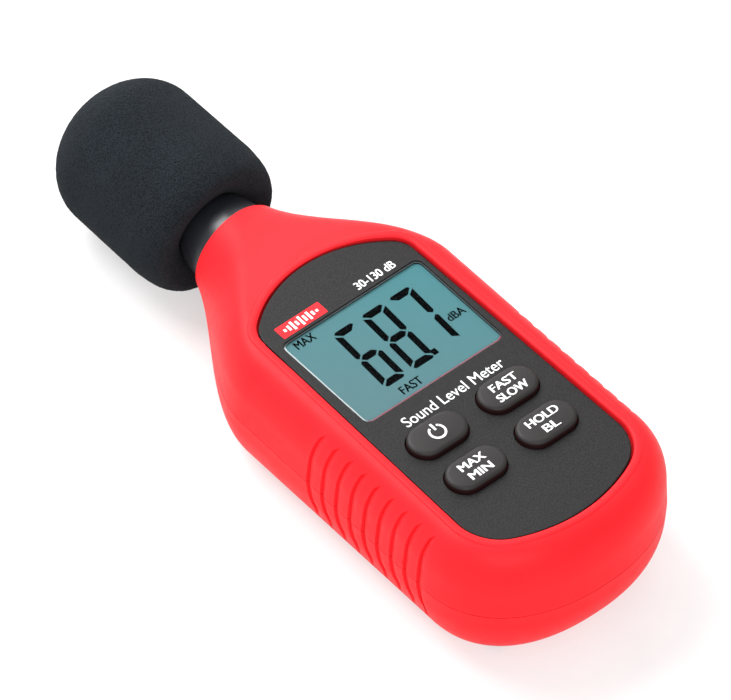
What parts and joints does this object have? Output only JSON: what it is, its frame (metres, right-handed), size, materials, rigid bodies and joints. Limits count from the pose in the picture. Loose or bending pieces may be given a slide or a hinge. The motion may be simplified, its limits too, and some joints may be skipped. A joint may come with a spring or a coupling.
{
  "type": "sound level meter",
  "caption": "Handheld sound level meter: rounded red case with a recessed dark panel, a display, oval push buttons, side grip grooves and a foam-covered microphone.",
  "frame": {"origin": "bottom centre of the bounding box, on the plane that the back lies on", "axes": "+X to the meter's right, +Y from the foot to the microphone, +Z out of the display"},
  "size_m": [0.0578, 0.1588, 0.0342],
  "materials": {
    "red_plastic": "satin",
    "dark_panel": "fine satin texture",
    "button_plastic": "satin",
    "clear_window": "clear",
    "lcd_teal": "smooth",
    "white_plastic": "satin",
    "grey_rubber": "matte",
    "board_green": "lacquered",
    "black_plastic": "satin",
    "gloss_black": "polished",
    "nickel": "plated",
    "capacitor_sleeve": "shrink sleeve",
    "foam": "open-cell foam",
    "red_lead": "wire insulation",
    "black_lead": "wire insulation",
    "cell_sleeve": "printed sleeve"
  },
  "bodies": {
    "case": {"front_shell": "red_plastic", "back_shell": "red_plastic", "front_panel": "dark_panel", "display_window": "clear_window", "lcd_glass": "lcd_teal", "lcd_backlight": "white_plastic", "lcd_frame": "white_plastic", "zebra_strip": "grey_rubber", "main_board": "board_green", "main_chip": "black_plastic", "amplifier_chip": "black_plastic", "crystal": "nickel", "capacitor_1": "capacitor_sleeve", "capacitor_2": "capacitor_sleeve", "microphone_neck": "gloss_black", "microphone_grille": "gloss_black", "microphone_capsule": "nickel", "capsule_gasket": "grey_rubber", "microphone_lead_1": "red_lead", "microphone_lead_2": "black_lead", "battery_lead_1": "red_lead", "battery_lead_2": "black_lead", "contact_plus": "nickel", "contact_minus": "nickel", "contact_link_head": "nickel", "contact_link_foot": "nickel", "switch_power": "black_plastic", "switch_fast_slow": "black_plastic", "switch_max_min": "black_plastic", "switch_hold_light": "black_plastic", "battery_cell_1": "cell_sleeve", "battery_spring_1": "nickel", "battery_cell_2": "cell_sleeve", "battery_spring_2": "nickel", "battery_cell_3": "cell_sleeve", "battery_spring_3": "nickel", "case_screw_1": "nickel", "case_screw_2": "nickel", "case_screw_3": "nickel", "case_screw_4": "nickel", "board_screw_1": "nickel", "board_screw_2": "nickel"},
    "windscreen": {"windscreen": "foam"},
    "battery_door": {"battery_door": "red_plastic"},
    "battery_door_screw": {"battery_door_screw": "nickel"},
    "button_power": {"button_power": "button_plastic", "plunger_power": "white_plastic"},
    "button_fast_slow": {"button_fast_slow": "button_plastic", "plunger_fast_slow": "white_plastic"},
    "button_max_min": {"button_max_min": "button_plastic", "plunger_max_min": "white_plastic"},
    "button_hold_light": {"button_hold_light": "button_plastic", "plunger_hold_light": "white_plastic"}
  },
  "joints": [
    {"name": "button_power_press", "type": "slide", "parent": "case", "child": "button_power", "axis": [0, 0, -1], "range_m": [0, 0.0006], "stiffness_N_per_m": 900},
    {"name": "button_fast_slow_press", "type": "slide", "parent": "case", "child": "button_fast_slow", "axis": [0, 0, -1], "range_m": [0, 0.0006], "stiffness_N_per_m": 900},
    {"name": "button_max_min_press", "type": "slide", "parent": "case", "child": "button_max_min", "axis": [0, 0, -1], "range_m": [0, 0.0006], "stiffness_N_per_m": 900},
    {"name": "button_hold_light_press", "type": "slide", "parent": "case", "child": "button_hold_light", "axis": [0, 0, -1], "range_m": [0, 0.0006], "stiffness_N_per_m": 900},
    {"name": "windscreen_pull", "type": "slide", "parent": "case", "child": "windscreen", "axis": [0, 1, 0], "range_m": [0, 0.034]},
    {"name": "battery_door_lift", "type": "slide", "parent": "case", "child": "battery_door", "axis": [0, 0, -1], "range_m": [0, 0.02]},
    {"name": "battery_door_screw_turn", "type": "hinge", "parent": "battery_door", "child": "battery_door_screw", "pos_m": [0, -0.0075, 0.0008], "axis": [0, 0, 1], "continuous": true}
  ]
}
